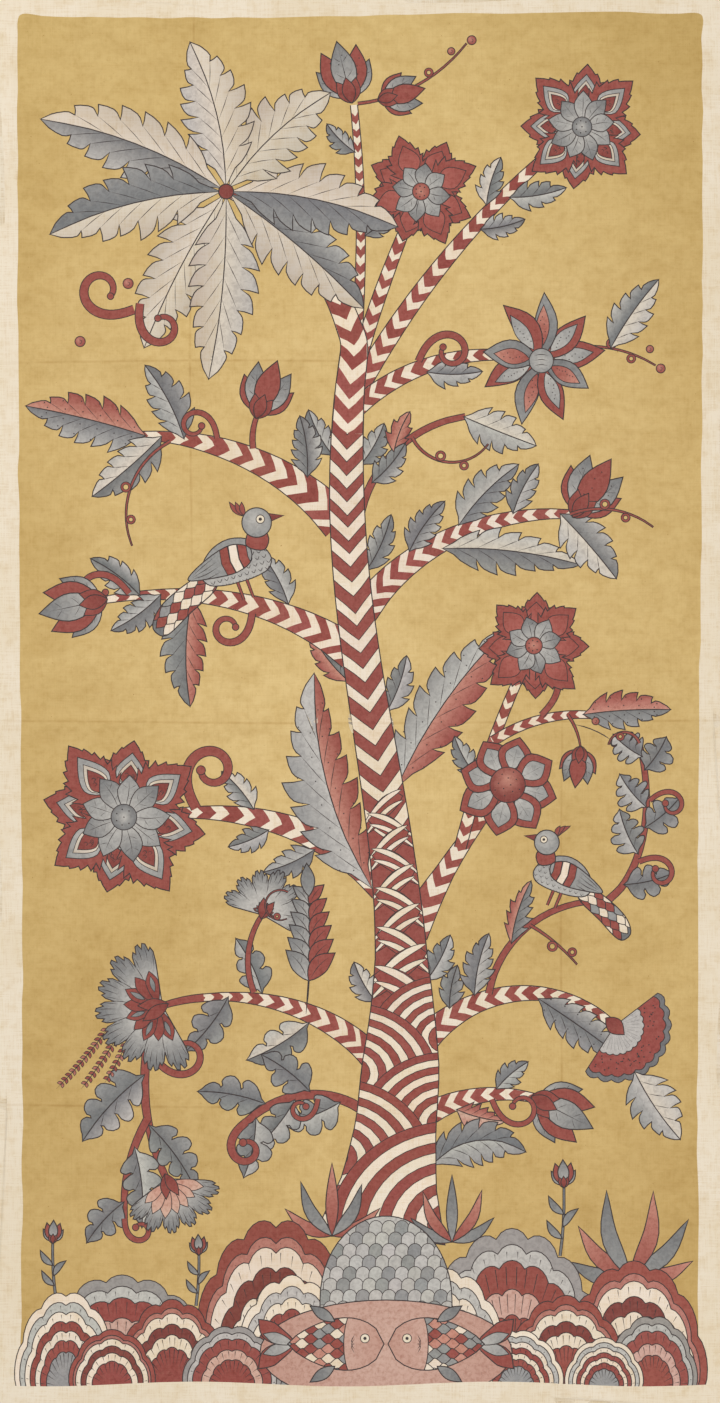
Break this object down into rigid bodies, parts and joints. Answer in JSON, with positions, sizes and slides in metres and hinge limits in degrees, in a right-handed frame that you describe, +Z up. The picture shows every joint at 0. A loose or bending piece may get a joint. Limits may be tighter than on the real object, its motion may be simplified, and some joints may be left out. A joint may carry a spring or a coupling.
{
  "type": "painted cotton wall panel laid flat",
  "caption": "Hand-painted cotton panel with a tree-of-life design on an ochre ground and a bare cotton margin, one thin cloth sheet lying face up with soft fold creases.",
  "frame": {"origin": "middle of the cloth's footprint, on the surface that it lies on", "axes": "+X across the panel to the right of the painting, +Y up the panel to its top edge, +Z up out of the painted face"},
  "size_m": [1.16, 2.2448, 0.0042],
  "materials": {
    "dyed_cotton": "matt plain-weave cotton painted with ochre, madder red and indigo grey dyes and black ink lines"
  },
  "bodies": {
    "root": {"painted_cloth": "dyed_cotton"}
  },
  "joints": []
}
